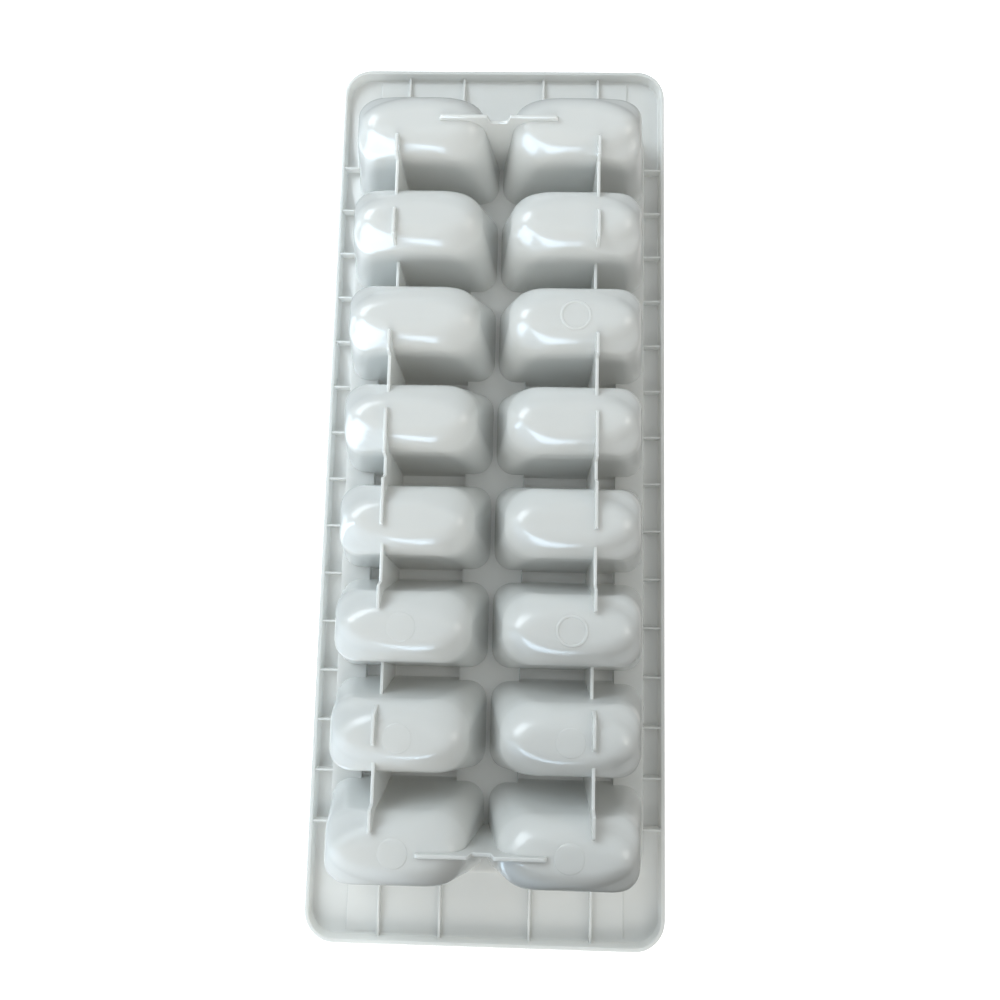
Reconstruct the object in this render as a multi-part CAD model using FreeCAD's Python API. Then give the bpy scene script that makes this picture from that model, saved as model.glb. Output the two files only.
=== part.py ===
import FreeCAD, Part
import math
import os

# Ice cube tray for sixteen cubes, one injection moulding in polypropylene.
# It stands as in use, with the pockets open upwards and its feet on Z = 0.
# X runs along the tray, Y across it, and the origin is under its middle.
# All sizes are in millimetres.

# Outer size and moulding thickness
trayLength = 305.0
trayWidth = 117.6
trayHeight = 40.0
wall = 1.3
ribThickness = 1.2
webThickness = 1.5
thinRibThickness = 0.9

# Rim: a flat flange with a skirt turned down along its outer edge
rimCornerRadius = 10.0
skirtDepth = 5.3
skirtFlare = 0.3

# Pocket grid
pocketRows = 8
pocketColumns = 2
rowPitch = 32.74
columnPitch = 51.8

# Pocket, sizes outside the moulding at the level of the sunken deck
mouthLength = 28.4
mouthWidth = 50.4
cornerRadius = 6.6
footCornerRadius = 10.5
lengthDraft = 7.3
widthDraft = 8.6
footRadius = 8.4
footClearance = 1.8

# Straight steps that make up a quarter turn of a corner, and the turn of a pocket's foot;
# half the flat that stays between two corners where the form is narrow
cornerSteps = 4
footSteps = 4
cornerFlat = 0.4

# Sunken deck around the pocket mouths, and the wall that surrounds it
deckDepth = 4.7
deckLedge = 0.3

# Raised dividers between neighbouring pockets, on the deck
dividerDrop = 1.0
rowDividerLength = 31.4
columnDividerLength = 13.8
dividerEndSlope = 1.2
slotGap = 0.12

# Lengthwise ribs under the row gaps, one line of them in each column
ribLineOffset = 6.9
notchDepth = 3.5
notchTopLength = 8.2
notchFloorLength = 5.0
lowRibHeight = 13.0
earReach = 5.6
earTipRadius = 1.4
tipShoulder = 0.3
footBarPast = 2.1
footBarReach = 6.7
footBarDrop = 5.2
footBarRun = 2.5

# Cross webs between the two columns in the first and the last row
webLength = 38.8

# Small ribs of the rim
rimRibDrop = 0.4
gussetPositions = (14.7, 34.8)
gussetEdge = 0.3
gussetTail = 1.4

# Shallow grip panel on each end flange
panelWidth = 91.2
panelDepth = 0.5
panelMargin = 3.0

# How far a piece runs into the one it is joined to or cut from
overlap = 0.2

# Derived levels
footLevel = footClearance
flangeUnder = trayHeight - wall
deckTop = trayHeight - deckDepth
deckUnder = deckTop - wall
skirtEdge = trayHeight - skirtDepth
dividerTop = trayHeight - dividerDrop
slotTop = dividerTop - wall
ribTop = slotTop + overlap
webTop = deckTop - wall / 2
above = trayHeight + overlap
lengthSlope = math.tan(math.radians(lengthDraft))
widthSlope = math.tan(math.radians(widthDraft))

# Derived places
rowCentres = [(row - (pocketRows - 1) / 2) * rowPitch for row in range(pocketRows)]
columnCentres = [(column - (pocketColumns - 1) / 2) * columnPitch for column in range(pocketColumns)]
rowGaps = [(rowCentres[i] + rowCentres[i + 1]) / 2 for i in range(pocketRows - 1)]
deckHalfLength = rowCentres[-1] + mouthLength / 2 + deckLedge
deckHalfWidth = columnCentres[-1] + mouthWidth / 2 + deckLedge
halfLength = trayLength / 2
halfWidth = trayWidth / 2


def ring(halfX, halfY, z, radius=0.0, centre=(0.0, 0.0)):
    """Corner points of a level rectangle, rounded by short straight steps if it has a radius."""
    cx, cy = centre
    steps = cornerSteps if radius > 0 else 0
    points = []
    for quarter, (sx, sy) in enumerate(((1, 1), (-1, 1), (-1, -1), (1, -1))):
        for k in range(steps + 1):
            angle = (quarter + k / cornerSteps) * math.pi / 2
            points.append(FreeCAD.Vector(cx + sx * (halfX - radius) + radius * math.cos(angle),
                                         cy + sy * (halfY - radius) + radius * math.sin(angle), z))
    return points


def stack(rings):
    """Solid with flat faces through level rings that have as many points each, from the lowest up."""
    loops = [rings[0][::-1], rings[-1]]
    for low, high in zip(rings, rings[1:]):
        for i in range(len(low)):
            j = (i + 1) % len(low)
            loops.append([low[i], low[j], high[j], high[i]])
    faces = [Part.Face(Part.makePolygon(loop + loop[:1])) for loop in loops]
    return Part.Solid(Part.Shell(faces))


def taperedBlock(lowX, lowY, z0, z1, radius, lengthwise, crosswise):
    """Block with rounded corners whose half sizes change by the two slopes as it rises from z0 to z1."""
    rise = z1 - z0
    return stack([ring(lowX, lowY, z0, radius),
                  ring(lowX + rise * lengthwise, lowY + rise * crosswise, z1, radius)])


def wallHalf(half, slope, z):
    """Half size of a drafted pocket wall at the level z, from its half size at the deck."""
    return half - (deckUnder - z) * slope


def footHalf(half, slope, z, foot, radius):
    """Half size of the pocket form at the level z, where its foot rounds into the drafted wall."""
    draft = math.atan(slope)
    if z >= foot + radius * (1 - math.sin(draft)):
        return wallHalf(half, slope, z)
    centre = wallHalf(half, slope, foot) - radius * math.tan((math.pi / 2 - draft) / 2)
    lift = max(z - foot, 0.0)
    return centre + math.sqrt(lift * (2 * radius - lift))


def pocketCorner(z, halfX, offset):
    """Corner radius of the pocket form at the level z: it widens towards the foot."""
    share = (deckUnder - z) / (deckUnder - footLevel)
    radius = cornerRadius + (footCornerRadius - cornerRadius) * share - offset
    return min(radius, halfX - cornerFlat)


def pocketBlock(offset, top, centre):
    """Pocket form inset by offset, from its rounded foot up to the level top."""
    foot = footLevel + offset
    radius = footRadius - offset
    halfX = mouthLength / 2 - offset
    halfY = mouthWidth / 2 - offset
    turn = math.pi / 2 - math.atan(lengthSlope)
    rings = []
    for k in range(footSteps + 1):
        z = foot + radius * (1 - math.cos(turn * k / footSteps))
        x = footHalf(halfX, lengthSlope, z, foot, radius)
        y = footHalf(halfY, widthSlope, z, foot, radius)
        rings.append(ring(x, y, z, pocketCorner(z, x, offset), centre))
    x = wallHalf(halfX, lengthSlope, top)
    y = wallHalf(halfY, widthSlope, top)
    rings.append(ring(x, y, top, pocketCorner(top, x, offset), centre))
    return stack(rings)


def slopedBar(length, width, z0, z1, run, centre, alongX=True):
    """Bar from z0 to z1 whose two ends lean inwards by run, as a symmetric trapezoid."""
    cx, cy = centre
    half = length / 2
    profile = ((-half - run, z0), (half + run, z0), (half, z1), (-half, z1))
    if alongX:
        points = [FreeCAD.Vector(cx + u, cy - width / 2, z) for u, z in profile]
        direction = FreeCAD.Vector(0, width, 0)
    else:
        points = [FreeCAD.Vector(cx - width / 2, cy + u, z) for u, z in profile]
        direction = FreeCAD.Vector(width, 0, 0)
    return Part.Face(Part.makePolygon(points + points[:1])).extrude(direction)


def plateAlongX(profile, y, thickness):
    """Upright plate in the plane of the given y, from a closed profile of (x, z) points."""
    points = [FreeCAD.Vector(x, y - thickness / 2, z) for x, z in profile]
    face = Part.Face(Part.makePolygon(points + points[:1]))
    return face.extrude(FreeCAD.Vector(0, thickness, 0))


def plateAlongY(profile, x, thickness):
    """Upright plate in the plane of the given x, from a closed profile of (y, z) points."""
    points = [FreeCAD.Vector(x - thickness / 2, y, z) for y, z in profile]
    face = Part.Face(Part.makePolygon(points + points[:1]))
    return face.extrude(FreeCAD.Vector(thickness, 0, 0))


def rimShell():
    """Flange and skirt, with the solid block of the deck hanging below the flange."""
    flare = skirtFlare / skirtDepth
    outer = taperedBlock(halfLength, halfWidth, skirtEdge, trayHeight, rimCornerRadius, -flare, -flare)
    hollow = taperedBlock(halfLength - wall, halfWidth - wall, skirtEdge, flangeUnder,
                          rimCornerRadius - wall, -flare, -flare)
    block = taperedBlock(deckHalfLength, deckHalfWidth, deckUnder, flangeUnder,
                         cornerRadius + deckLedge, lengthSlope, widthSlope)
    return outer.cut(hollow).fuse(block)


def gripPanels(z0, z1, margin):
    """The two end flange areas between z0 and z1, held in from the skirt by margin."""
    inner = deckHalfLength - wall
    length = halfLength - panelMargin - margin - inner
    panels = []
    for side in (1, -1):
        start = inner if side > 0 else -inner - length
        corner = FreeCAD.Vector(start, -panelWidth / 2 + margin, z0)
        panels.append(Part.makeBox(length, panelWidth - 2 * margin, z1 - z0, corner))
    return panels


def dividerSlots():
    """Hollows under the raised dividers between rows, open downwards into the row gaps."""
    z0 = deckUnder - overlap
    low = (rowPitch - mouthLength) / 2 - slotGap + (deckUnder - z0) * lengthSlope
    high = low - (slotTop - z0) * lengthSlope
    half = rowDividerLength / 2
    return [stack([ring(low, half, z0, 0.0, (x, y)), ring(high, half, slotTop, 0.0, (x, y))])
            for x in rowGaps for y in columnCentres]


def deckHollow():
    """Space above the sunken deck inside its wall, without the raised dividers."""
    shift = deckTop - deckUnder
    lowX = deckHalfLength - wall + shift * lengthSlope
    lowY = deckHalfWidth - wall + shift * widthSlope
    space = taperedBlock(lowX, lowY, deckTop, above,
                         cornerRadius + deckLedge - wall, lengthSlope, widthSlope)
    dividers = []
    rowBar = rowPitch - mouthLength + 2 * wall
    columnBar = columnPitch - mouthWidth + 2 * wall
    z0 = deckTop - overlap
    run = dividerEndSlope
    for x in rowGaps:
        for y in columnCentres:
            dividers.append(slopedBar(rowDividerLength, rowBar, z0, dividerTop, run, (x, y), False))
    for x in rowCentres:
        dividers.append(slopedBar(columnDividerLength, columnBar, z0, dividerTop, run, (x, 0.0)))
    return space.cut(dividers)


def tipPoints(end, side):
    """Points of a crest's end at the given place, from its outer side inwards."""
    tip = earTipRadius
    cut = tip * tipShoulder
    return [(end, tip), (end - side * cut, cut), (end - side * tip, 0.0)]


def notchedCrest(half):
    """Crest of a rib on the ground from -half to half, with the notch over the middle."""
    notch = [(-notchTopLength / 2, 0.0), (-notchFloorLength / 2, notchDepth),
             (notchFloorLength / 2, notchDepth), (notchTopLength / 2, 0.0)]
    return tipPoints(-half, -1) + notch + tipPoints(half, 1)[::-1]


def middleRib():
    """Rib under the middle row gap: it laps over both neighbouring pockets and has the notch."""
    reach = rowPitch / 2 + footBarPast
    return notchedCrest(reach) + [(reach, ribTop), (-reach, ribTop)]


def earRib(side):
    """Rib that laps over the pocket on one side with an ear, and stays low towards the other."""
    reach = rowPitch / 2 - earReach
    buried = rowPitch / 2 - mouthLength / 4
    crest = [(side * x, z) for x, z in tipPoints(reach, 1)]
    return [(side * reach, ribTop)] + crest + [
        (side * notchTopLength / 2, 0.0), (side * notchFloorLength / 2, notchDepth),
        (-side * buried, notchDepth), (-side * buried, ribTop)]


def lowRib():
    """Rib that only fills the upper part of a row gap."""
    half = (rowPitch - mouthLength) / 2 + (deckUnder - lowRibHeight) * lengthSlope + wall / 2
    return [(-half, lowRibHeight), (half, lowRibHeight), (half, ribTop), (-half, ribTop)]


def footBar(towards):
    """Bar under one pocket, blunt behind its middle and running out towards the tray's middle."""
    rise = footBarDrop
    blunt = [(towards * x, z) for x, z in tipPoints(-footBarPast, -1)]
    return [(-towards * footBarPast, rise)] + blunt + [
        (towards * footBarReach, 0.0), (towards * (footBarReach + footBarRun), rise)]


def longRibs():
    """All lengthwise ribs of both columns."""
    ribs = []
    middle = len(rowGaps) // 2
    for y in (columnCentres[0] - ribLineOffset, columnCentres[-1] + ribLineOffset):
        for i, gap in enumerate(rowGaps):
            step = i - middle
            if step == 0:
                profile = middleRib()
            elif step % 2:
                profile = earRib(1 if step > 0 else -1)
            else:
                profile = lowRib()
            ribs.append(plateAlongX([(gap + x, z) for x, z in profile], y, ribThickness))
        for centre, towards in ((rowCentres[1], 1), (rowCentres[-2], -1)):
            ribs.append(plateAlongX([(centre + x, z) for x, z in footBar(towards)], y, ribThickness))
    return ribs


def endWebs():
    """Plates across the valley between the columns, in the middle of the first and the last row."""
    half = webLength / 2
    root = footLevel + wall
    shoulder = columnPitch / 4
    profile = notchedCrest(half) + [(half, root), (shoulder, webTop), (-shoulder, webTop), (-half, root)]
    return [plateAlongY(profile, x, webThickness) for x in (rowCentres[0], rowCentres[-1])]


def rimRibs():
    """Thin ribs between the deck wall and the long skirts, at every half pitch of the rows."""
    ribs = []
    crest = skirtEdge + rimRibDrop
    inner = deckHalfWidth - wall / 2
    outer = halfWidth - skirtFlare - wall / 2
    height = flangeUnder + wall / 2 - crest
    for i in range(2 * pocketRows - 1):
        x = (i - (pocketRows - 1)) * rowPitch / 2
        for side in (1, -1):
            y0 = inner if side > 0 else -outer
            corner = FreeCAD.Vector(x - thinRibThickness / 2, y0, crest)
            ribs.append(Part.makeBox(thinRibThickness, outer - inner, height, corner))
    return ribs


def endGussets():
    """Thin tapering ribs from the end walls of the deck along the end flanges to the skirt."""
    gussets = []
    start = deckHalfLength - wall / 2
    end = halfLength - wall / 2
    top = flangeUnder + wall / 4
    for side in (1, -1):
        for place in gussetPositions:
            for y in (place, -place):
                profile = [(side * start, top), (side * start, deckUnder + gussetEdge),
                           (side * (deckHalfLength + wall), deckUnder + gussetEdge),
                           (side * end, flangeUnder - gussetTail), (side * end, top)]
                gussets.append(plateAlongX(profile, y, thinRibThickness))
    return gussets


def buildTray():
    """The whole moulding as one solid."""
    centres = [(x, y) for x in rowCentres for y in columnCentres]
    body = rimShell()
    body = body.fuse(gripPanels(flangeUnder - panelDepth, flangeUnder + wall / 2, 0.0))
    body = body.fuse([pocketBlock(0.0, deckUnder + wall / 2, centre) for centre in centres])
    body = body.cut(dividerSlots())
    body = body.fuse(longRibs() + endWebs() + rimRibs() + endGussets())
    body = body.cut(deckHollow())
    body = body.cut(gripPanels(trayHeight - panelDepth, above, wall))
    body = body.cut([pocketBlock(wall, above, centre) for centre in centres])
    return body.removeSplitter()


def saveSolid(shape, name):
    """Write one node and print what a reader needs to judge it."""
    box = shape.BoundBox
    print(name, "solids", len(shape.Solids), "valid", shape.isValid(), "faces", len(shape.Faces),
          "volume cm3 %.2f" % (shape.Volume / 1000.0),
          "size %.2f x %.2f x %.2f" % (box.XLength, box.YLength, box.ZLength), "z0 %.3f" % box.ZMin)
    shape.exportStep(os.path.join("parts", name + ".step"))


os.makedirs("parts", exist_ok=True)
tray = buildTray()
if len(tray.Solids) == 1:
    tray = tray.Solids[0]
saveSolid(tray, "tray")
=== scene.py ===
import bmesh
import bpy
import numpy as np
from mathutils import Matrix, Vector


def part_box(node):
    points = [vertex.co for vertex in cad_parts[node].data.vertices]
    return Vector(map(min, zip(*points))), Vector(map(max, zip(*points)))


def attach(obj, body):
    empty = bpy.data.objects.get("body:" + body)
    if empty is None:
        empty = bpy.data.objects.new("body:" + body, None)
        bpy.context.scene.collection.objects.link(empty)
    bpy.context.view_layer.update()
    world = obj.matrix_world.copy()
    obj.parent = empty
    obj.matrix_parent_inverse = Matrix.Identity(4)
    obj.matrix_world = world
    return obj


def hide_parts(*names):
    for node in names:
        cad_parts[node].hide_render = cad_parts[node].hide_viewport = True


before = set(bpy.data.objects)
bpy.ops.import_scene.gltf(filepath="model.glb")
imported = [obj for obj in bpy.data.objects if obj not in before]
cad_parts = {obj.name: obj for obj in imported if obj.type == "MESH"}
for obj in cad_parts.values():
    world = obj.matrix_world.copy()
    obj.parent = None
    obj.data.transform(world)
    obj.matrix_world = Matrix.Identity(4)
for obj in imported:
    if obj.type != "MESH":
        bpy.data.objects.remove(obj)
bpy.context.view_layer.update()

mm = 0.001
trayHigh = np.array(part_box("tray")[1]) / mm  # highest corner of the solid
weldGrid = 0.002  # points closer than this share a place
tiny = 1e-6

# sizes are in millimetres, and a tray of another size is had by changing them here
rim = {
    "halfLength": trayHigh[0], "halfWidth": trayHigh[1], "top": trayHigh[2],
    "wall": 1.3,
    "cornerRadius": 10.0,
    "skirtDepth": 5.3, "skirtFlare": 0.3,
    "outerRound": 0.8, "edgeRound": 0.3, "rootRound": 0.45,
    "panelDepth": 0.5, "panelMargin": 4.2, "panelStep": 0.15,  # shallow grip panel, one per end flange
}
pocket = {
    "rows": 8, "columns": 2, "rowPitch": 32.74, "columnPitch": 51.8,
    "mouthHalfLength": 14.2, "mouthHalfWidth": 25.2, "mouthRadius": 6.3,
    "lengthSlope": np.tan(np.radians(7.3)), "widthSlope": np.tan(np.radians(8.6)),
    "footLevel": 1.8, "footRound": 8.4,
    # corners where the foot's round begins, towards the tray's middle and away from it, and
    # the ellipse that both grow into on the flat foot, over its half sizes
    "innerCorner": (9.4, 10.5), "outerCorner": (6.8, 7.0), "flatShare": 0.96,
    "outerLate": 2.0,  # above 1, the outer corners grow late on the foot's round
    "cornerSteps": 10, "footSteps": 10, "wallSteps": 4,
    "stationsX": (0, 3.4), "stationsY": (0, 4.0, 8.0, 12.0),  # grid lines on the straight sides
}
deck = {
    # the sunken deck between the mouths, and the dividers that rise from it between neighbours
    "depth": 4.7, "ledge": 0.3,
    "dividerDrop": 1.0, "dividerRound": 0.45, "slotRound": 0.12,
    "rowDividerHalf": 15.7, "rowDividerFoot": 16.9, "slotEnd": 15.85,
    "columnDividerHalf": 6.9, "columnDividerFoot": 7.8,
}
deckTop = rim["top"] - deck["depth"]
deckUnder = deckTop - rim["wall"]
dividerTop = rim["top"] - deck["dividerDrop"]
slotTop = dividerTop - rim["wall"]
rowCentres = (np.arange(pocket["rows"]) - (pocket["rows"] - 1) / 2) * pocket["rowPitch"]
columnCentres = (np.arange(pocket["columns"]) - (pocket["columns"] - 1) / 2) * pocket["columnPitch"]


def sectionHalf(z, half, slope, inset):
    # half size of a pocket at level z: a straight drafted wall, and below it a circle
    # tangent to the wall and to the flat foot; inset 0 is the outside, the wall the inside
    foot = pocket["footLevel"] + inset
    radius = pocket["footRound"] - inset
    draft = np.arctan(slope)
    wallLine = half - inset - (deckUnder - z) * slope
    centre = half - inset - (deckUnder - foot) * slope - radius * np.tan((np.pi / 2 - draft) / 2)
    lift = np.clip(z - foot, 0.0, radius)
    arc = centre + np.sqrt(lift * (2 * radius - lift))
    return np.where(z >= foot + radius * (1 - np.sin(draft)), wallLine, arc)


def roundedLoop(halfX, halfY, highCorner, lowCorner, shareX, shareY):
    # rectangle with round corners, once round from the +X side: straight sides at the given
    # shares of their length, and quarter ellipses between them, of one size on the +Y side
    # and of another on the -Y side
    n = pocket["cornerSteps"]
    turn = np.arange(1, n) * np.pi / 2 / n
    rising, falling = np.sin(turn), np.cos(turn)
    highX, highY = highCorner
    lowX, lowY = lowCorner
    sideY = shareY * np.where(shareY > 0, halfY - highY, halfY - lowY)
    highSide, lowSide = shareX * (halfX - highX), shareX * (halfX - lowX)
    fullX, fullY = np.full(len(shareY), halfX), np.full(len(shareX), halfY)
    x = np.concatenate([fullX, halfX - highX * (1 - falling), highSide[::-1], highX * (1 - rising) - halfX,
                        -fullX, lowX * (1 - falling) - halfX, lowSide, halfX - lowX * (1 - rising)])
    y = np.concatenate([sideY, halfY - highY * (1 - rising), fullY, halfY - highY * (1 - falling),
                        sideY[::-1], lowY * (1 - rising) - halfY, -fullY, lowY * (1 - falling) - halfY])
    return np.column_stack([x, y])


def cornerSizes(levels, foot, roundEnd, mouthZ, mouthR, halfX, halfY, inset, kind):
    # the two sizes of a pocket's corner at each level: a circle at the mouth, the given size
    # where the foot's round begins, and nearly the whole ellipse on the flat foot
    fall = np.clip((roundEnd - levels) / (roundEnd - foot), 0, 1)
    if kind == "outerCorner":
        fall = np.minimum(fall * 2, 1) ** pocket["outerLate"]
    rise = np.clip((levels - roundEnd) / (mouthZ - roundEnd), 0, 1)
    sizes = []
    for half, begin in ((halfX, pocket[kind][0] - inset), (halfY, pocket[kind][1] - inset)):
        onRound = begin + (half * pocket["flatShare"] - begin) * fall
        onRound = np.minimum(onRound, half * pocket["flatShare"])
        sizes.append(onRound * (1 - rise) + mouthR * rise)
    return np.column_stack(sizes)


def cornerPart(endX, endY, halfX, halfY, atCorner):
    # boundary of a cell past the straight stations: a square corner, or a quarter circle
    # with the given radius where the cell is at a corner of the tray
    n = pocket["cornerSteps"]
    k = np.arange(1, n)
    if atCorner:
        turn = k * np.pi / 2 / n
        radius = halfX - endX
        return endX + radius * np.cos(turn), endY + (halfY - endY) * np.sin(turn)
    share = np.minimum(k / (n / 2), 1.0)
    back = np.maximum(k / (n / 2) - 1.0, 0.0)
    return halfX - (halfX - endX) * back, endY + (halfY - endY) * share


def cellLoop(stationsX, stationsY, right, left, far, near, rounded):
    # boundary of one pocket's cell, with its own half size on each of its four sides
    endX, endY = stationsX[-1], stationsY[-1]
    c0 = cornerPart(endX, endY, right, far, rounded[0])
    c1 = cornerPart(endX, endY, left, far, rounded[1])
    c2 = cornerPart(endX, endY, left, near, rounded[2])
    c3 = cornerPart(endX, endY, right, near, rounded[3])
    nx, ny = len(stationsX), len(stationsY)
    x = np.concatenate([np.full(ny, right), c0[0], stationsX[::-1], -c1[0][::-1],
                        np.full(ny, -left), -c2[0], stationsX, c3[0][::-1]])
    y = np.concatenate([stationsY, c0[1], np.full(nx, far), c1[1][::-1],
                        stationsY[::-1], -c2[1], np.full(nx, -near), -c3[1][::-1]])
    return np.column_stack([x, y])


def sideOfStation(nx, ny):
    # which side each station of a loop is on: 0 +X, 2 +Y, 4 -X, 6 -Y, and odd numbers for corners
    n = pocket["cornerSteps"] - 1
    return np.concatenate([np.full(ny, 0), np.full(n, 1), np.full(nx, 2), np.full(n, 3),
                           np.full(ny, 4), np.full(n, 5), np.full(nx, 6), np.full(n, 7)])


def symmetric(values):
    # rising distances from the middle, on both sides of it
    half = np.array(values, float)
    return np.concatenate([-half[::-1], half[half > 0] if half[0] == 0 else half])


def gridFaces(rings, count, offset=0, closed=True):
    # quads between neighbouring rings of a grid
    k = np.arange(count if closed else count - 1)
    nxt = (k + 1) % count
    a = np.arange(rings - 1)[:, None] * count
    return (offset + np.stack([a + k, a + nxt, a + count + nxt, a + count + k], axis=-1)).reshape(-1, 4)


def pocketPatch(row, column, inset):
    # one side of a pocket's wall and of its share of the deck: rings from the middle of the
    # foot, over the foot's round, up the drafted wall and out to the edge of its cell
    inside = inset > 0
    halfX0, halfY0 = pocket["mouthHalfLength"], pocket["mouthHalfWidth"]
    mouthZ = deckTop if inside else deckUnder
    mouthX = float(sectionHalf(mouthZ, halfX0, pocket["lengthSlope"], inset))
    mouthY = float(sectionHalf(mouthZ, halfY0, pocket["widthSlope"], inset))
    mouthR = pocket["mouthRadius"] - inset
    endX, endY = mouthX - mouthR, mouthY - mouthR
    stationsX = symmetric([*pocket["stationsX"], deck["columnDividerHalf"], deck["columnDividerFoot"], endX])
    stationsY = symmetric([*pocket["stationsY"], deck["rowDividerHalf"], deck["slotEnd"],
                           deck["rowDividerFoot"], endY])
    side = sideOfStation(len(stationsX), len(stationsY))

    foot = pocket["footLevel"] + inset
    footRound = pocket["footRound"] - inset
    turn = np.linspace(0, np.pi / 2 - np.arctan(pocket["lengthSlope"]), pocket["footSteps"] + 1)
    footZ = foot + footRound * (1 - np.cos(turn))
    wallZ = np.linspace(footZ[-1], mouthZ, pocket["wallSteps"] + 2)[1:]
    levels = np.concatenate([footZ, wallZ])
    halfX = sectionHalf(levels, halfX0, pocket["lengthSlope"], inset)
    halfY = sectionHalf(levels, halfY0, pocket["widthSlope"], inset)
    shape = (levels, foot, footZ[-1], mouthZ, mouthR, halfX, halfY, inset)
    inner, outer = cornerSizes(*shape, "innerCorner"), cornerSizes(*shape, "outerCorner")
    high, low = (outer, inner) if columnCentres[column] > 0 else (inner, outer)
    shareX, shareY = stationsX / endX, stationsY / endY
    loops, heights = [], []
    for share in (0.0, 0.5):  # the flat middle of the foot
        loops.append(share * roundedLoop(halfX[0], halfY[0], high[0], low[0], shareX, shareY))
        heights.append(np.full(len(side), foot))
    for z, hx, hy, highCorner, lowCorner in zip(levels, halfX, halfY, high, low):
        loops.append(roundedLoop(hx, hy, highCorner, lowCorner, shareX, shareY))
        heights.append(np.full(len(side), z))

    # edge of the cell: half way to the neighbour, or the deck's own wall
    shift = 0.0 if not inside else (deckTop - deckUnder)
    halfPitchX, halfPitchY = pocket["rowPitch"] / 2, pocket["columnPitch"] / 2
    wallX = halfX0 + deck["ledge"] - inset + shift * pocket["lengthSlope"]
    wallY = halfY0 + deck["ledge"] - inset + shift * pocket["widthSlope"]
    lastRow, lastColumn = pocket["rows"] - 1, pocket["columns"] - 1
    right = wallX if row == lastRow else halfPitchX
    left = wallX if row == 0 else halfPitchX
    far = wallY if column == lastColumn else halfPitchY
    near = wallY if column == 0 else halfPitchY
    outerX, outerY = (row == lastRow, row == 0), (column == lastColumn, column == 0)
    rounded = (outerX[0] and outerY[0], outerX[1] and outerY[0],
               outerX[1] and outerY[1], outerX[0] and outerY[1])
    edge = cellLoop(stationsX, stationsY, right, left, far, near, rounded)
    mouth = loops[-1]

    # how far the deck is raised at each station: over the dividers to the neighbouring pockets
    alongX, alongY = np.abs(mouth[:, 0]), np.abs(mouth[:, 1])
    overRow = np.clip((deck["rowDividerFoot"] - alongY)
                      / (deck["rowDividerFoot"] - deck["rowDividerHalf"]), 0, 1)
    overColumn = np.clip((deck["columnDividerFoot"] - alongX)
                         / (deck["columnDividerFoot"] - deck["columnDividerHalf"]), 0, 1)
    hasRow = ((side == 0) & (row < lastRow)) | ((side == 4) & (row > 0))
    hasColumn = ((side == 2) & (column < lastColumn)) | ((side == 6) & (column > 0))
    if inside:
        raised = np.where(hasRow, overRow, 0.0) + np.where(hasColumn, overColumn, 0.0)
        lift, crestRound = dividerTop - deckTop, deck["dividerRound"]
    else:
        raised = np.where(hasRow & (alongY < deck["rowDividerHalf"] + 0.01), 1.0, 0.0)
        lift, crestRound = slotTop - deckUnder, deck["slotRound"]
    slope = np.where((side == 2) | (side == 6), pocket["widthSlope"], pocket["lengthSlope"])
    gap = np.maximum(np.linalg.norm(edge - mouth, axis=1), 0.01)
    # three rings round a divider's crest, and the share of the way out where there is none
    for z, out, flat in ((lift - crestRound, 0.0, 0.2), (lift - 0.3 * crestRound, 0.3 * crestRound, 0.5),
                         (lift, crestRound, 0.8)):
        share = np.where(raised > 0, np.clip((z * slope + out) / gap, 0.05, 0.9), flat)
        loops.append(mouth + (edge - mouth) * share[:, None])
        heights.append(mouthZ + raised * z)
    loops.append(edge)
    heights.append(mouthZ + raised * lift)

    count = len(side)
    centre = np.array([rowCentres[row], columnCentres[column]])
    xy = np.concatenate(loops) + centre
    points = np.column_stack([xy, np.concatenate(heights)])
    onWall = np.zeros(count, bool)
    onWall |= (row == lastRow) & (np.abs(edge[:, 0] - wallX) < tiny)
    onWall |= (row == 0) & (np.abs(edge[:, 0] + wallX) < tiny)
    onWall |= (column == lastColumn) & (np.abs(edge[:, 1] - wallY) < tiny)
    onWall |= (column == 0) & (np.abs(edge[:, 1] + wallY) < tiny)
    for corner in range(4):
        onWall |= (side == 2 * corner + 1) & rounded[corner]
    return points, gridFaces(len(loops), count), edge[onWall] + centre


def weld(points, quads):
    # points that share a place become one, and quads that lose a corner become triangles
    keys, back = np.unique(np.round(points / weldGrid).astype(np.int64), axis=0, return_inverse=True)
    back = back.ravel()
    merged = np.zeros((len(keys), 3))
    merged[back] = points
    q = back[quads]
    a, b, c, d = q.T
    whole = (a != b) & (b != c) & (c != d) & (d != a) & (a != c) & (b != d)
    triangles = [q[(a == b) & (c != d) & (b != c) & (d != a)][:, [1, 2, 3]],
                 q[(b == c) & (d != a) & (a != b) & (c != d)][:, [0, 1, 3]],
                 q[(c == d) & (a != b) & (b != c) & (d != a)][:, [0, 1, 2]],
                 q[(d == a) & (b != c) & (a != b) & (c != d)][:, [0, 1, 2]]]
    return merged, q[whole].tolist() + np.concatenate(triangles).tolist()


def outlineOf(pieces):
    # points of the deck's edge, once round and each of them once
    points = np.concatenate(pieces)
    keys, first = np.unique(np.round(points / weldGrid).astype(np.int64), axis=0, return_index=True)
    points = points[np.sort(first)]
    return points[np.argsort(np.arctan2(points[:, 1], points[:, 0]))]


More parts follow.
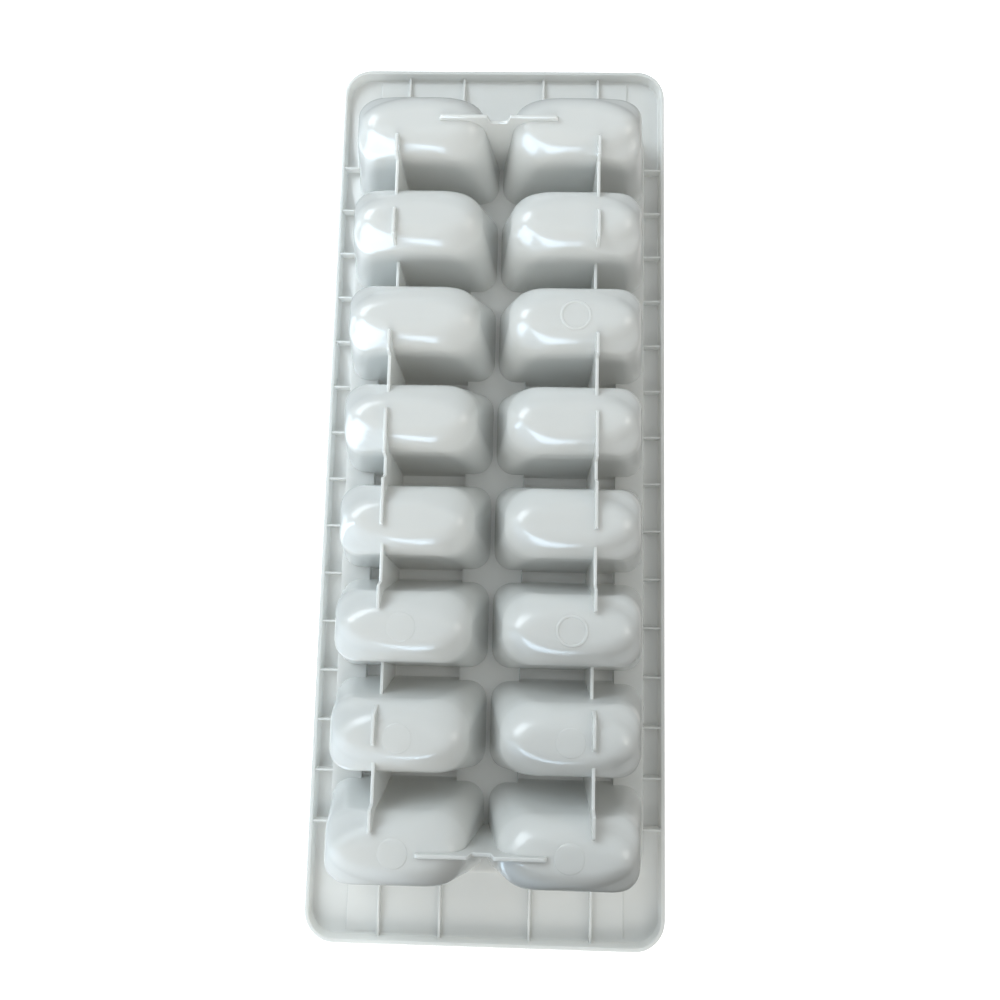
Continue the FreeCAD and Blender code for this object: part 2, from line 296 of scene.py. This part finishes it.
def rimPatch(innerEdge, outerEdge):
    # flange, skirt and the wall round the sunken deck: a profile carried once round the tray,
    # from the deck's upper edge over the rim and back to its lower edge
    ends = {}
    for name, edge in (("inner", innerEdge), ("outer", outerEdge)):
        halfX, halfY = edge[:, 0].max(), edge[:, 1].max()
        radius = pocket["mouthRadius"] + deck["ledge"] - (rim["wall"] if name == "inner" else 0.0)
        ends[name] = (halfX, halfY, radius)
    halfX, halfY, radius = ends["outer"]
    straightX, straightY = halfX - radius, halfY - radius
    ax, ay = np.abs(outerEdge[:, 0]), np.abs(outerEdge[:, 1])
    slack = 1e-4  # for points that lie on the limit
    onEnd = ay <= straightY + slack
    onSide = (ax <= straightX + slack) & ~onEnd
    onEnd &= ~(ax <= straightX + slack)
    angle = np.arctan2(np.clip(ay - straightY, 0, None), np.clip(ax - straightX, 0, None))
    signX, signY = np.sign(outerEdge[:, 0]), np.sign(outerEdge[:, 1])
    # a second column stands at each end of the end flanges, for the step of the grip panel
    n = pocket["cornerSteps"]
    last = onEnd & (ay > straightY - 10 * slack)
    columns = np.repeat(np.arange(len(outerEdge)), np.where(last, 2, 1))
    first = np.r_[True, columns[1:] != columns[:-1]]
    extra = last[columns] & np.where((signX * signY)[columns] < 0, first, ~first)
    share = np.where(onEnd, ay / straightY, np.where(onSide, ax / straightX, 0.0))
    share, angle, onEnd, onSide = share[columns], angle[columns], onEnd[columns], onSide[columns]
    signX, signY = signX[columns], signY[columns]
    step = rim["panelStep"]
    panel = onEnd & ~extra

    def deckLoop(name, grownX, grownY, wide):
        # the deck's edge, grown by the draft of its wall and widened by a round
        hx, hy, r = ends[name]
        hx, hy = hx + grownX + wide, hy + grownY + wide
        r = r + wide
        x = np.where(onEnd, hx, np.where(onSide, share * (hx - r), hx - r + r * np.cos(angle)))
        y = np.where(onEnd, share * (hy - r), np.where(onSide, hy, hy - r + r * np.sin(angle)))
        return np.column_stack([signX * x, signY * (y + np.where(extra, step, 0.0))])

    top = rim["top"] - deckUnder
    flangeY = halfY + (top - rim["wall"]) * pocket["widthSlope"] - radius

    def skirtLoop(inward):
        # the tray's outline, drawn in
        hx, hy = rim["halfLength"] - inward, rim["halfWidth"] - inward
        r = rim["cornerRadius"] - inward
        late = np.clip((angle / (np.pi / 2) * n - 1) / (n - 1), 0, 1) * np.pi / 2
        x = np.where(onEnd, hx, np.where(onSide, share * (hx - r), hx - r + r * np.cos(late)))
        y = np.where(onEnd, share * flangeY, np.where(onSide, hy, hy - r + r * np.sin(late)))
        return np.column_stack([signX * x, signY * (y + np.where(extra, step, 0.0))])

    def between(first, second, x):
        # the loop whose end sides stand at the given x, between two others
        begin, end = np.abs(first[:, 0]).max(), np.abs(second[:, 0]).max()
        return first + (second - first) * ((x - begin) / (end - begin))

    wall, flare, drop = rim["wall"], rim["skirtFlare"], rim["panelDepth"] * panel
    topZ, underZ, edgeZ = rim["top"], rim["top"] - rim["wall"], rim["top"] - rim["skirtDepth"]
    big, small, root = rim["outerRound"], rim["edgeRound"], rim["rootRound"]
    lengthSlope, widthSlope = pocket["lengthSlope"], pocket["widthSlope"]
    level = np.zeros(len(columns))
    rings = [(np.column_stack([innerEdge[columns]]), level + deckTop)]

    def wallRing(name, z, base, wide, height):
        # one ring up the deck's drafted wall
        grown = z - base
        rings.append((deckLoop(name, grown * lengthSlope, grown * widthSlope, wide), level + height))

    wallRing("inner", topZ - 2 * small, deckTop, 0.0, topZ - 2 * small - drop)
    wallRing("inner", topZ - small, deckTop, 0.0, topZ - small - drop)
    wallRing("inner", topZ, deckTop, 0.3 * small, topZ - 0.3 * small - drop)
    wallRing("inner", topZ, deckTop, small, topZ - drop)
    innerTop = rings[-1][0]
    outerTop = skirtLoop(flare + big)
    panelX = rim["halfLength"] - rim["panelMargin"]
    rings.append((between(innerTop, outerTop, panelX), level + topZ - drop))
    rings.append((between(innerTop, outerTop, panelX + step), level + topZ))
    rings.append((outerTop, level + topZ))
    for turn in np.radians([30, 60, 90]):
        rings.append((skirtLoop(flare + big * (1 - np.sin(turn))), level + topZ - big * (1 - np.cos(turn))))
    quarter = np.radians([0, 45, 90])
    for turn in quarter:
        rings.append((skirtLoop(small * (1 - np.cos(turn))), level + edgeZ + small * (1 - np.sin(turn))))
    for turn in quarter:
        rings.append((skirtLoop(wall - small * (1 - np.sin(turn))),
                      level + edgeZ + small * (1 - np.cos(turn))))
    for turn in quarter:
        rings.append((skirtLoop(wall + flare + root * (1 - np.cos(turn))),
                      level + underZ - root * (1 - np.sin(turn))))
    outerUnder = rings[-1][0]
    wallRise = underZ - deckUnder
    innerUnder = deckLoop("outer", wallRise * lengthSlope, wallRise * widthSlope, root)
    underX = panelX + wall
    rings.append((between(innerUnder, outerUnder, underX + step), level + underZ))
    rings.append((between(innerUnder, outerUnder, underX), level + underZ - drop))
    for turn in quarter:
        wallRing("outer", underZ - root * (1 - np.cos(turn)), deckUnder, root * (1 - np.sin(turn)),
                 underZ - root * (1 - np.cos(turn)) - drop)
    rings.append((outerEdge[columns], level + deckUnder))
    points = np.concatenate([np.column_stack([xy, z]) for xy, z in rings])
    return points, gridFaces(len(rings), len(columns))


def shellMesh():
    # the whole shell: both sides of the sixteen pockets and the rim, welded into one closed skin
    points, quads, edges = [], [], {0.0: [], rim["wall"]: []}
    total = 0
    for inset in edges:
        for row in range(pocket["rows"]):
            for column in range(pocket["columns"]):
                p, q, e = pocketPatch(row, column, inset)
                points.append(p)
                quads.append((q if inset == 0 else q[:, ::-1]) + total)
                edges[inset].append(e)
                total += len(p)
    p, q = rimPatch(outlineOf(edges[rim["wall"]]), outlineOf(edges[0.0]))
    points.append(p)
    quads.append(q + total)
    return weld(np.concatenate(points), np.concatenate(quads))


ribs = {
    # thickness at the crest and at the root, and the bevel along the crest
    "line": (0.95, 1.4, 0.16), "web": (1.2, 1.7, 0.2), "thin": (0.6, 0.95, 0.12),
    "lineOffset": 6.9,  # from the middle of a column outwards
    "notchDepth": 3.5, "notchTopHalf": 4.1, "notchFloorHalf": 2.5, "lowRibHeight": 13.0,
    "notchEase": (0.35, 0.25, 0.3, 0.2),  # how the notch's corners are cut: at its mouth, at its floor
    "earReach": 5.6, "tipRadius": 1.3, "wrapRise": 8.0,
    "footBarPast": 2.1, "footBarReach": 6.7, "footBarRise": 5.2, "footBarRun": 2.6,
    "webHalf": 19.4,
    "rimRibDrop": 0.4, "gussets": (14.7, 34.8), "gussetEdge": 0.3, "gussetTail": 1.4, "gussetFoot": 1.0,
    "endLap": 0.3, "sideSink": 0.5, "gussetSink": 0.2,  # how far the short ribs lie in the wall
}
buried = rim["wall"] * 0.5  # how deep a rib's root lies in the wall that carries it


def wallCurve(half, slope, fromDistance, topZ, steps=14):
    # middle of a pocket's wall as (distance from the pocket's middle, level), from the given
    # distance on its foot, round the foot and up to topZ
    z = np.concatenate([np.linspace(0, 1, steps) ** 2 * ribs["wrapRise"] + pocket["footLevel"] + buried,
                        [topZ]])
    distance = sectionHalf(z, half, slope, buried)
    keep = distance > fromDistance + 0.05
    startZ = np.interp(fromDistance, distance, z) if fromDistance > distance[0] else z[0]
    return np.column_stack([np.concatenate([[fromDistance], distance[keep]]),
                            np.concatenate([[startZ], z[keep]])])


def tipArc(end, direction):
    # quarter circle at the end of a crest, from its upright side down to the crest
    r = ribs["tipRadius"]
    turn = np.linspace(0, np.pi / 2, 6)
    return np.column_stack([end - direction * r * (1 - np.cos(turn)), r * (1 - np.sin(turn))])


def notch():
    # the notch in a crest: sloped sides from its mouth to its floor, with cut corners
    top, floor, depth = ribs["notchTopHalf"], ribs["notchFloorHalf"], ribs["notchDepth"]
    mouthIn, up, floorOut, floorIn = ribs["notchEase"]
    right = np.array([[floor - floorIn, depth], [floor + floorOut, depth - up],
                      [top - mouthIn, up], [top, 0]])
    return np.concatenate([mirrored(right), right])


def mirrored(profile):
    # the same outline on the other side of the middle, in the order that carries on from it
    return (profile * [-1, 1])[::-1]


def lappedHalf(reach, pitch, half, slope, topZ):
    # right half of a rib that laps over the pocket on its right: crest, tip, and back up
    # along the middle of that pocket's wall
    curve = wallCurve(half, slope, pitch / 2 - reach, topZ) if reach < pitch / 2 else None
    if curve is None:
        past = wallCurve(half, slope, 0.0, topZ)
        curve = np.concatenate([[[pitch / 2 - reach, past[0, 1]]], past])
    side = np.column_stack([pitch / 2 - curve[:, 0], curve[:, 1]])
    return np.concatenate([tipArc(reach, 1)[::-1], side])


def ribProfile(step):
    # outline of the rib in one row gap, by how many gaps it is from the middle one
    pitch = pocket["rowPitch"]
    half, slope = pocket["mouthHalfLength"], pocket["lengthSlope"]
    topZ = slotTop + 0.4
    if step == 0:
        right = lappedHalf(pitch / 2 + ribs["footBarPast"], pitch, half, slope, topZ)
        return np.concatenate([notch(), right, mirrored(right)])
    if step % 2:
        right = lappedHalf(pitch / 2 - ribs["earReach"], pitch, half, slope, topZ)
        low = ribs["notchDepth"]
        z = np.concatenate([np.linspace(low, 10, 6), [topZ]])
        left = np.column_stack([sectionHalf(z, half, slope, buried) - pitch / 2, z])[::-1]
        profile = np.concatenate([left, notch()[4:], right])
        return profile if step > 0 else mirrored(profile)
    z = np.array([ribs["lowRibHeight"], topZ])
    side = np.column_stack([pitch / 2 - sectionHalf(z, half, slope, buried), z])
    return np.concatenate([side, mirrored(side)])


def footBarProfile():
    # bar under one pocket: blunt on one side of its middle, running out on the other
    reach, run, rise = ribs["footBarReach"], ribs["footBarRun"], ribs["footBarRise"]
    past = ribs["footBarPast"]
    t = np.linspace(0, 1, 6)
    slide = np.column_stack([reach + run * t, rise * t ** 1.7])
    half, slope = pocket["mouthHalfLength"], pocket["lengthSlope"]
    curve = wallCurve(half, slope, 0.0, rise + 0.9)
    curve = curve[curve[:, 1] < rise + 0.8][::-1]
    back = np.array([[-past, curve[-1, 1]]])
    return np.concatenate([mirrored(tipArc(past, 1)[::-1]), slide, curve, back])


def webProfile():
    # plate across the valley between the two columns, lapped over the feet on both sides
    right = lappedHalf(ribs["webHalf"], pocket["columnPitch"], pocket["mouthHalfWidth"],
                       pocket["widthSlope"], deckUnder + buried)
    return np.concatenate([notch(), right, mirrored(right)])


def unit(vectors):
    # each vector over its length
    return vectors / np.maximum(np.linalg.norm(vectors, axis=1), tiny / 1000)[:, None]


def plate(profile, crest, root, bevel):
    # closed plate from an outline, thicker at its root than at its crest: four copies across
    # its thickness, the outer two drawn in by the bevel, joined by strips and closed by two
    # flat faces
    ahead, behind = np.roll(profile, -1, axis=0) - profile, profile - np.roll(profile, 1, axis=0)
    ahead, behind = unit(ahead), unit(behind)
    normal = unit(np.column_stack([-(ahead + behind)[:, 1], (ahead + behind)[:, 0]]))
    x, y = profile.T
    if np.sum(x * np.roll(y, -1) - y * np.roll(x, -1)) < 0:
        normal = -normal
    drawn = profile + normal * bevel
    half = (crest + (root - crest) * (y - y.min()) / np.ptp(y)) / 2
    layers = [(drawn, -half), (profile, bevel - half), (profile, half - bevel), (drawn, half)]
    points = np.concatenate([np.column_stack([u[:, 0], w, u[:, 1]]) for u, w in layers])
    count = len(profile)
    faces = gridFaces(4, count).tolist()
    faces += [list(range(count))[::-1], list(range(3 * count, 4 * count))]
    return points, faces


def turned(piece):
    # a plate drawn along X, turned to run along Y
    return piece[0][:, [1, 0, 2]], piece[1]


def placed(piece, x, y):
    # a piece moved level to its place
    return piece[0] + [x, y, 0], piece[1]


def underPlates():
    # ribs, bars, webs and short ribs as four lists of (points, faces); the pieces of one list
    # stand clear of each other
    lines, bars, webs, shorts = [], [], [], []
    middle = (pocket["rows"] - 2) // 2
    gaps = (rowCentres[:-1] + rowCentres[1:]) / 2
    for side in (-1, 1):
        y = side * (columnCentres[-1] + ribs["lineOffset"])
        for i, x in enumerate(gaps):
            lines.append(placed(plate(ribProfile(i - middle), *ribs["line"]), x, y))
        for x, towards in ((rowCentres[1], 1), (rowCentres[-2], -1)):
            bars.append(placed(plate(footBarProfile() * [towards, 1], *ribs["line"]), x, y))
    for x in (rowCentres[0], rowCentres[-1]):
        webs.append(placed(turned(plate(webProfile(), *ribs["web"])), x, 0))
    # short ribs under the long flanges, at every half pitch
    under = rim["top"] - rim["wall"]
    low = rim["top"] - rim["skirtDepth"] + ribs["rimRibDrop"]
    deckY = columnCentres[-1] + pocket["mouthHalfWidth"] + deck["ledge"]
    lap, sink = ribs["endLap"], ribs["sideSink"]
    inY, outY = deckY - lap, rim["halfWidth"] - rim["wall"] * 0.6
    short = np.array([[inY, low], [outY, low], [outY, under + sink], [inY + lap, under + sink]])
    for k in range(2 * pocket["rows"] - 1):
        x = (k - (pocket["rows"] - 1)) * pocket["rowPitch"] / 2
        for side in (-1, 1):
            shorts.append(placed(turned(plate(short * [side, 1], *ribs["thin"])), x, 0))
    # tapering gussets under the end flanges, from the deck's wall to the skirt
    deckX = rowCentres[-1] + pocket["mouthHalfLength"] + deck["ledge"]
    endX, sink = rim["halfLength"] - buried, ribs["gussetSink"]
    footZ = deckUnder + ribs["gussetEdge"]
    gusset = np.array([[deckX - lap, footZ], [deckX + ribs["gussetFoot"], footZ],
                       [endX, under - ribs["gussetTail"]], [endX, under + sink], [deckX + 0.4, under + sink]])
    for end in (-1, 1):
        for place in ribs["gussets"]:
            for y in (-place, place):
                shorts.append(placed(plate(gusset * [end, 1], *ribs["thin"]), 0, y))
    return lines, bars, webs, shorts


marks = {
    "radius": 4.5, "beadHalf": 0.5, "beadRise": 0.34, "discRise": 0.14, "steps": 72,
    "beads": ((5, 1), (2, 1)),  # (row, column) of a bead in a circle
    "discs": ((2, 0), (1, 0), (1, 1), (0, 1), (0, 0)),  # and of a low disc
}


def footLevelAt(distance):
    # level of a pocket's foot at a distance from its middle line: flat, then the foot's round
    z = np.linspace(pocket["footLevel"], pocket["footLevel"] + 6, 200)
    reach = sectionHalf(z, pocket["mouthHalfLength"], pocket["lengthSlope"], 0.0)
    return np.interp(np.abs(distance), reach, z)


def mark(row, column, raised):
    # a section carried once round: a half round bead, or a low disc with a soft edge, sunk a
    # little into the foot
    turn = np.arange(marks["steps"]) * 2 * np.pi / marks["steps"]
    if raised:
        around = np.arange(8) * 2 * np.pi / 8  # the bead's own section has eight sides
        out = marks["radius"] + marks["beadHalf"] * np.cos(around)
        rise = marks["beadRise"] * np.sin(around)
    else:
        out = marks["radius"] * np.array([0.0, 0.55, 0.9, 0.97, 1.0, 0.97, 0.55, 0.0])
        rise = marks["discRise"] * np.array([1.0, 1.0, 1.0, 0.7, -0.2, -1.0, -1.0, -1.0])
    x, y = out[:, None] * np.cos(turn), out[:, None] * np.sin(turn)
    z = footLevelAt(x) - rise[:, None]
    points = np.column_stack([(rowCentres[row] + x).ravel(), (columnCentres[column] + y).ravel(), z.ravel()])
    if raised:
        return points, gridFaces(9, marks["steps"]) % len(points)
    return weld(points, gridFaces(8, marks["steps"]))


def meshFrom(name, pieces):
    # one mesh out of several (points, faces), with its faces outwards
    starts = np.cumsum([0] + [len(points) for points, _ in pieces])
    faces = [[i + start for i in face] for start, (_, some) in zip(starts, pieces) for face in some]
    mesh = bpy.data.meshes.new(name)
    mesh.from_pydata((np.concatenate([points for points, _ in pieces]) * mm).tolist(), [], faces)
    work = bmesh.new()
    work.from_mesh(mesh)
    bmesh.ops.recalc_face_normals(work, faces=work.faces)
    work.to_mesh(mesh)
    work.free()
    return mesh


def united(body, name, pieces):
    # the body and some closed pieces as one skin
    tool = bpy.data.objects.new(name, meshFrom(name, pieces))
    bpy.context.scene.collection.objects.link(tool)
    union = body.modifiers.new(name, "BOOLEAN")
    union.operation, union.solver, union.object = "UNION", "MANIFOLD", tool
    view = bpy.context.evaluated_depsgraph_get()
    view.update()
    mesh = bpy.data.meshes.new_from_object(body.evaluated_get(view))
    body.modifiers.clear()
    body.data = mesh
    bpy.data.objects.remove(tool)
    print(name, "joined:", len(mesh.vertices), "points")


def moulding():
    # the finished tray as one object with one closed skin: shell, ribs and marks
    body = bpy.data.objects.new("iceCubeTray", meshFrom("shell", [shellMesh()]))
    bpy.context.scene.collection.objects.link(body)
    beads = [mark(*place, True) for place in marks["beads"]]
    discs = [mark(*place, False) for place in marks["discs"]]
    for name, pieces in zip(("lines", "bars", "webs", "shorts", "marks"), (*underPlates(), beads + discs)):
        united(body, name, pieces)
    mesh = body.data
    mesh.name = "iceCubeTray"
    mesh.materials.clear()
    mesh.shade_smooth()
    mesh.set_sharp_from_angle(angle=np.radians(34))
    uses = np.zeros(len(mesh.loops), int)
    mesh.loops.foreach_get("edge_index", uses)
    print("tray:", len(mesh.vertices), "points,", int(np.sum(np.bincount(uses) != 2)), "open edges")
    return body


plastic = {
    "colour": (0.655, 0.665, 0.65), "cloud": (0.685, 0.69, 0.67),
    "roughness": (0.17, 0.23), "ior": 1.49, "gloss": 0.7,
    "subsurface": 0.55, "depth": 0.004, "spread": (1.0, 0.95, 0.9),
    "cloudScale": 28.0, "mattScale": 90.0,
    # the two bumps: strength, depth in metres and scale
    "wave": (0.12, 0.0004, 70.0), "grain": (0.03, 0.0001, 2200.0),
}


def node(tree, kind, **values):
    # a new node with its sockets and settings given by name
    made = tree.nodes.new(kind)
    for key, value in values.items():
        if key in made.inputs:
            made.inputs[key].default_value = value
        else:
            setattr(made, key, value)
    return made


def polypropylene():
    # natural polypropylene: milky, soft gloss, faint flow clouds and a fine mould grain
    material = bpy.data.materials.new("polypropylene")
    material.use_nodes = True
    tree = material.node_tree
    shader = tree.nodes["Principled BSDF"]
    place = node(tree, "ShaderNodeTexCoord")
    cloud = node(tree, "ShaderNodeTexNoise", Scale=plastic["cloudScale"], Detail=3.0, Roughness=0.5)
    colour = node(tree, "ShaderNodeMix", data_type="RGBA")
    colour.inputs["A"].default_value = (*plastic["colour"], 1)
    colour.inputs["B"].default_value = (*plastic["cloud"], 1)
    tree.links.new(place.outputs["Object"], cloud.inputs["Vector"])
    tree.links.new(cloud.outputs["Fac"], colour.inputs["Factor"])
    tree.links.new(colour.outputs["Result"], shader.inputs["Base Color"])
    matt = node(tree, "ShaderNodeTexNoise", Scale=plastic["mattScale"], Detail=2.0)
    rough = node(tree, "ShaderNodeMapRange")
    rough.inputs["To Min"].default_value, rough.inputs["To Max"].default_value = plastic["roughness"]
    tree.links.new(place.outputs["Object"], matt.inputs["Vector"])
    tree.links.new(matt.outputs["Fac"], rough.inputs["Value"])
    tree.links.new(rough.outputs["Result"], shader.inputs["Roughness"])
    waveStrength, waveDepth, waveScale = plastic["wave"]
    grainStrength, grainDepth, grainScale = plastic["grain"]
    wave = node(tree, "ShaderNodeTexNoise", Scale=waveScale, Detail=1.0)
    grain = node(tree, "ShaderNodeTexNoise", Scale=grainScale, Detail=2.0)
    waveBump = node(tree, "ShaderNodeBump", Strength=waveStrength, Distance=waveDepth)
    grainBump = node(tree, "ShaderNodeBump", Strength=grainStrength, Distance=grainDepth)
    tree.links.new(place.outputs["Object"], wave.inputs["Vector"])
    tree.links.new(place.outputs["Object"], grain.inputs["Vector"])
    tree.links.new(wave.outputs["Fac"], waveBump.inputs["Height"])
    tree.links.new(grain.outputs["Fac"], grainBump.inputs["Height"])
    tree.links.new(waveBump.outputs["Normal"], grainBump.inputs["Normal"])
    tree.links.new(grainBump.outputs["Normal"], shader.inputs["Normal"])
    shader.inputs["IOR"].default_value = plastic["ior"]
    shader.inputs["Specular IOR Level"].default_value = plastic["gloss"]
    shader.inputs["Subsurface Weight"].default_value = plastic["subsurface"]
    shader.inputs["Subsurface Radius"].default_value = plastic["spread"]
    shader.inputs["Subsurface Scale"].default_value = plastic["depth"]
    return material


stage = {"size": 8.0, "gap": 0.0001, "white": (0.93, 0.93, 0.93), "glow": 0.6, "tableGlow": 0.8}


def stagePlane(name, z, up, glow):
    # a white sheet that only the camera sees, and only from the side it faces
    half = stage["size"] / 2
    corners = [(-half, -half, z), (half, -half, z), (half, half, z), (-half, half, z)]
    mesh = bpy.data.meshes.new(name)
    mesh.from_pydata(corners, [], [[0, 1, 2, 3] if up else [3, 2, 1, 0]])
    sheet = bpy.data.objects.new(name, mesh)
    bpy.context.scene.collection.objects.link(sheet)
    for ray in ("diffuse", "glossy", "transmission", "volume_scatter", "shadow"):
        setattr(sheet, "visible_" + ray, False)
    material = bpy.data.materials.new(name)
    material.use_nodes = True
    tree = material.node_tree
    tree.nodes.clear()
    out = node(tree, "ShaderNodeOutputMaterial")
    geometry = node(tree, "ShaderNodeNewGeometry")
    matt = node(tree, "ShaderNodeBsdfDiffuse", Color=(*stage["white"], 1))
    light = node(tree, "ShaderNodeEmission", Color=(1, 1, 1, 1), Strength=glow)
    both = node(tree, "ShaderNodeAddShader")
    clear = node(tree, "ShaderNodeBsdfTransparent")
    pick = node(tree, "ShaderNodeMixShader")
    tree.links.new(matt.outputs[0], both.inputs[0])
    tree.links.new(light.outputs[0], both.inputs[1])
    tree.links.new(geometry.outputs["Backfacing"], pick.inputs[0])
    tree.links.new(both.outputs[0], pick.inputs[1])
    tree.links.new(clear.outputs[0], pick.inputs[2])
    tree.links.new(pick.outputs[0], out.inputs["Surface"])
    mesh.materials.append(material)
    return sheet


shades = {
    # dark sheets below the feet, round the end of the tray that is nearest in the photo's view:
    # corners as (x, y, lower edge) and the upper edge, in metres; the first only takes light
    # away, the second only hides the window's mirror image
    "end": {"corners": ((-0.168, 0.09, -0.085), (-0.168, -0.03, -0.085)), "high": -0.0005, "light": True},
    "mirror": {"corners": ((-0.172, 0.09, -0.05), (-0.172, -0.03, -0.05), (-0.172, -0.078, -0.11),
                           (-0.035, -0.078, -0.12)),
               "high": 0.04, "light": False},
}
shadeBlack = (0.02, 0.02, 0.02)


def standShade(name, look):
    # an upright dark sheet that the camera doesn't see
    count = len(look["corners"])
    points = [(x, y, look["high"]) for x, y, _ in look["corners"]] + list(look["corners"])
    mesh = bpy.data.meshes.new(name)
    mesh.from_pydata(points, [], [[k, k + 1, k + 1 + count, k + count] for k in range(count - 1)])
    sheet = bpy.data.objects.new(name, mesh)
    bpy.context.scene.collection.objects.link(sheet)
    sheet.visible_camera = False
    sheet.visible_diffuse = sheet.visible_shadow = look["light"]
    sheet.visible_transmission = sheet.visible_volume_scatter = look["light"]
    sheet.visible_glossy = not look["light"]
    material = bpy.data.materials.new(name)
    material.use_nodes = True
    shader = material.node_tree.nodes["Principled BSDF"]
    shader.inputs["Base Color"].default_value = (*shadeBlack, 1)
    shader.inputs["Specular IOR Level"].default_value = 0.0
    mesh.materials.append(material)
    return sheet


room = {  # light of the room: from under the tray, where the photo's camera is, and from above it
    "below": 0.52, "above": 0.14, "colour": (0.955, 0.99, 1.0), "blend": 0.15,
}
lamps = {
    # bearing in degrees from the +Y side towards +X, rise in degrees below the tray's plane,
    # distance and size in metres; the window is only mirrored, and the near lamp is not mirrored
    "farLeft": {"bearing": 145, "rise": 40, "away": 1.2, "size": (0.9, 0.6), "power": 9.5,
                "colour": (0.84, 0.94, 1.0), "diffuse": True, "gloss": True},
    "lowLeft": {"bearing": 195, "rise": -10, "away": 1.2, "size": (1.2, 0.5), "power": 7.0,
                "colour": (0.7, 0.87, 1.0), "diffuse": True, "gloss": True},
    "right": {"bearing": 0, "rise": 36, "away": 1.2, "size": (0.6, 0.5), "power": 2.2,
              "colour": (1.0, 0.98, 0.9), "diffuse": True, "gloss": True},
    "near": {"bearing": 265, "rise": 25, "away": 1.2, "size": (0.8, 0.5), "power": 7.5,
             "colour": (1.0, 1.0, 0.97), "diffuse": True, "gloss": False},
    "window": {"bearing": 234, "rise": 8, "away": 1.2, "size": (1.9, 1.75), "power": 82.0,
               "colour": (0.6, 0.8, 1.0), "diffuse": False, "gloss": True},
    "aboveLeft": {"bearing": 220, "rise": -45, "away": 1.3, "size": (1.1, 1.0), "power": 4.0,
                  "colour": (0.9, 0.96, 1.0), "diffuse": True, "gloss": True},
    "aboveRight": {"bearing": 35, "rise": -55, "away": 1.3, "size": (1.2, 1.2), "power": 2.6,
                   "colour": (1.0, 0.985, 0.955), "diffuse": True, "gloss": True},
}


def lightLamps():
    # each lamp stands on a sphere round the tray and faces its middle
    for name, look in lamps.items():
        bearing, rise = np.radians(look["bearing"]), np.radians(look["rise"])
        back = Vector([np.sin(bearing) * np.cos(rise), np.cos(bearing) * np.cos(rise), -np.sin(rise)])
        right = Vector((0, 0, -1)).cross(back).normalized()
        data = bpy.data.lights.new(name, "AREA")
        data.shape = "RECTANGLE"
        data.size, data.size_y = look["size"]
        data.energy, data.color = look["power"], look["colour"]
        lamp = bpy.data.objects.new(name, data)
        turn = Matrix((right, back.cross(right), back)).transposed().to_4x4()
        lamp.matrix_world = Matrix.Translation(back * look["away"]) @ turn
        lamp.visible_camera = False
        lamp.visible_diffuse, lamp.visible_glossy = look["diffuse"], look["gloss"]
        bpy.context.scene.collection.objects.link(lamp)


def lightRoom():
    # an even world of one strength below and another above, white to the camera itself
    world = bpy.data.worlds.new("room")
    bpy.context.scene.world = world
    world.use_nodes = True
    tree = world.node_tree
    ray = node(tree, "ShaderNodeLightPath")
    place = node(tree, "ShaderNodeTexCoord")
    split = node(tree, "ShaderNodeSeparateXYZ")
    level = node(tree, "ShaderNodeMapRange")
    seen = node(tree, "ShaderNodeMix", data_type="FLOAT")
    limits = {"From Min": -room["blend"], "From Max": room["blend"],
              "To Min": room["below"], "To Max": room["above"]}
    for key, value in limits.items():
        level.inputs[key].default_value = value
    tree.links.new(place.outputs["Generated"], split.inputs[0])
    tree.links.new(split.outputs["Z"], level.inputs["Value"])
    tree.links.new(ray.outputs["Is Camera Ray"], seen.inputs["Factor"])
    tree.links.new(level.outputs["Result"], seen.inputs["A"])
    seen.inputs["B"].default_value = 1.0
    tree.links.new(seen.outputs["Result"], tree.nodes["Background"].inputs["Strength"])
    tree.nodes["Background"].inputs["Color"].default_value = (*room["colour"], 1)


camera = {
    "place": (-0.03698, 0.01200, -0.25858),
    "right": (0.0222, 0.99946, 0.02429), "up": (0.99168, -0.01893, -0.12733),
    "back": (-0.1268, 0.02691, -0.99156),
    "lens": 30.725, "sensor": 36.0, "shiftX": -0.00585, "shiftY": -0.0203,
}


def placeCamera():
    # the photo's view: the camera looks up at the feet from under the tray
    data = bpy.data.cameras.new("photoCamera")
    data.lens, data.sensor_width = camera["lens"], camera["sensor"]
    data.shift_x, data.shift_y = camera["shiftX"], camera["shiftY"]
    data.clip_start = 0.01
    eye = bpy.data.objects.new("photoCamera", data)
    axes = np.column_stack([camera["right"], camera["up"], camera["back"], camera["place"]])
    eye.matrix_world = Matrix(np.vstack([axes, [0, 0, 0, 1]]).tolist())
    bpy.context.scene.collection.objects.link(eye)
    bpy.context.scene.camera = eye


placeCamera()
lightLamps()
lightRoom()
stagePlane("floor", 0.0, True, stage["glow"])
stagePlane("table", trayHigh[2] * mm + stage["gap"], False, stage["tableGlow"])
for name, look in shades.items():
    standShade(name + "Shade", look)
print("stage and lamps stand")

tray = moulding()
tray.data.materials.append(polypropylene())
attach(tray, "root")
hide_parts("tray")
print("tray is made")

scene = bpy.context.scene
scene.view_settings.view_transform = "Standard"
